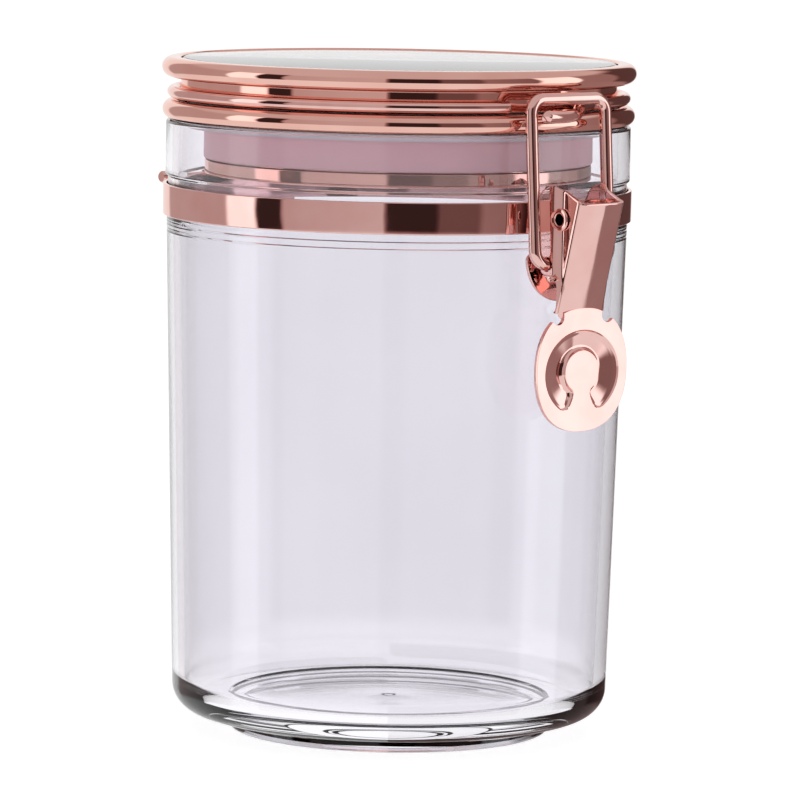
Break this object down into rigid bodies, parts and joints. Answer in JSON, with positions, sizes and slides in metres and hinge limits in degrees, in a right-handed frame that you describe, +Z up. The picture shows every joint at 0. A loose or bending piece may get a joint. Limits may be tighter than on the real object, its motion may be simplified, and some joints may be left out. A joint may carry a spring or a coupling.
{
  "type": "food canister",
  "caption": "Clear round food canister with a rose-gold plated lid that an over-centre wire bail latch clamps down and a rear wire hinge carries.",
  "frame": {"origin": "on the jar's axis, in the plane that the foot stands on", "axes": "+Z up along the jar's axis, -Y towards the latch, +Y towards the hinge"},
  "size_m": [0.1094, 0.1311, 0.1554],
  "materials": {
    "jar_acrylic": "clear polished acrylic",
    "lid_acrylic": "clear polished acrylic",
    "collar_plating": "mirror rose-gold plating on moulded plastic",
    "rim_plating": "mirror rose-gold plating on moulded plastic",
    "plug_plating": "mirror rose-gold plating on moulded plastic",
    "seal_silicone": "matt white silicone",
    "band_plating": "mirror rose-gold plating on steel",
    "bracket_plating": "mirror rose-gold plating on steel",
    "rivet_plating": "mirror rose-gold plating on steel",
    "lever_plating": "mirror rose-gold plating on steel",
    "wire_plating": "mirror rose-gold plating on steel",
    "hinge_plating": "mirror rose-gold plating on steel"
  },
  "bodies": {
    "jar_body": {"jar": "jar_acrylic", "jar_collar_ring": "collar_plating", "neck_band": "band_plating", "latch_bracket": "bracket_plating", "bracket_rivet_left": "rivet_plating", "bracket_rivet_right": "rivet_plating", "lever_pivot_rivet": "rivet_plating", "hinge_bracket": "hinge_plating", "hinge_rivet_left": "rivet_plating", "hinge_rivet_right": "rivet_plating"},
    "lever_arm": {"lever": "lever_plating"},
    "bail_wire": {"bail": "wire_plating"},
    "hinge_wire": {"rear_link_wire": "wire_plating"},
    "lid": {"lid_rim_ring": "rim_plating", "lid_top_plate": "lid_acrylic", "lid_plug": "plug_plating", "lid_seal": "seal_silicone", "lid_ring_wire": "wire_plating", "hinge_clip": "hinge_plating"}
  },
  "joints": [
    {"name": "lever_turn", "type": "hinge", "parent": "jar_body", "child": "lever_arm", "pos_m": [0, -0.0622, 0.123], "axis": [-1, 0, 0], "range_deg": [0, 110]},
    {"name": "bail_swing", "type": "hinge", "parent": "lever_arm", "child": "bail_wire", "pos_m": [0, -0.059, 0.1129], "axis": [-1, 0, 0], "range_deg": [-110, 0]},
    {"name": "hinge_wire_swing", "type": "hinge", "parent": "jar_body", "child": "hinge_wire", "pos_m": [0, 0.0594, 0.1252], "axis": [-1, 0, 0], "range_deg": [0, 12]},
    {"name": "lid_open", "type": "hinge", "parent": "hinge_wire", "child": "lid", "pos_m": [0, 0.0572, 0.14742], "axis": [-1, 0, 0], "range_deg": [0, 100]}
  ],
  "couplings": [
    {"joint": "bail_swing", "follows": "lever_turn", "ratio": -1},
    {"joint": "hinge_wire_swing", "follows": "lid_open", "ratio": 0.12}
  ]
}
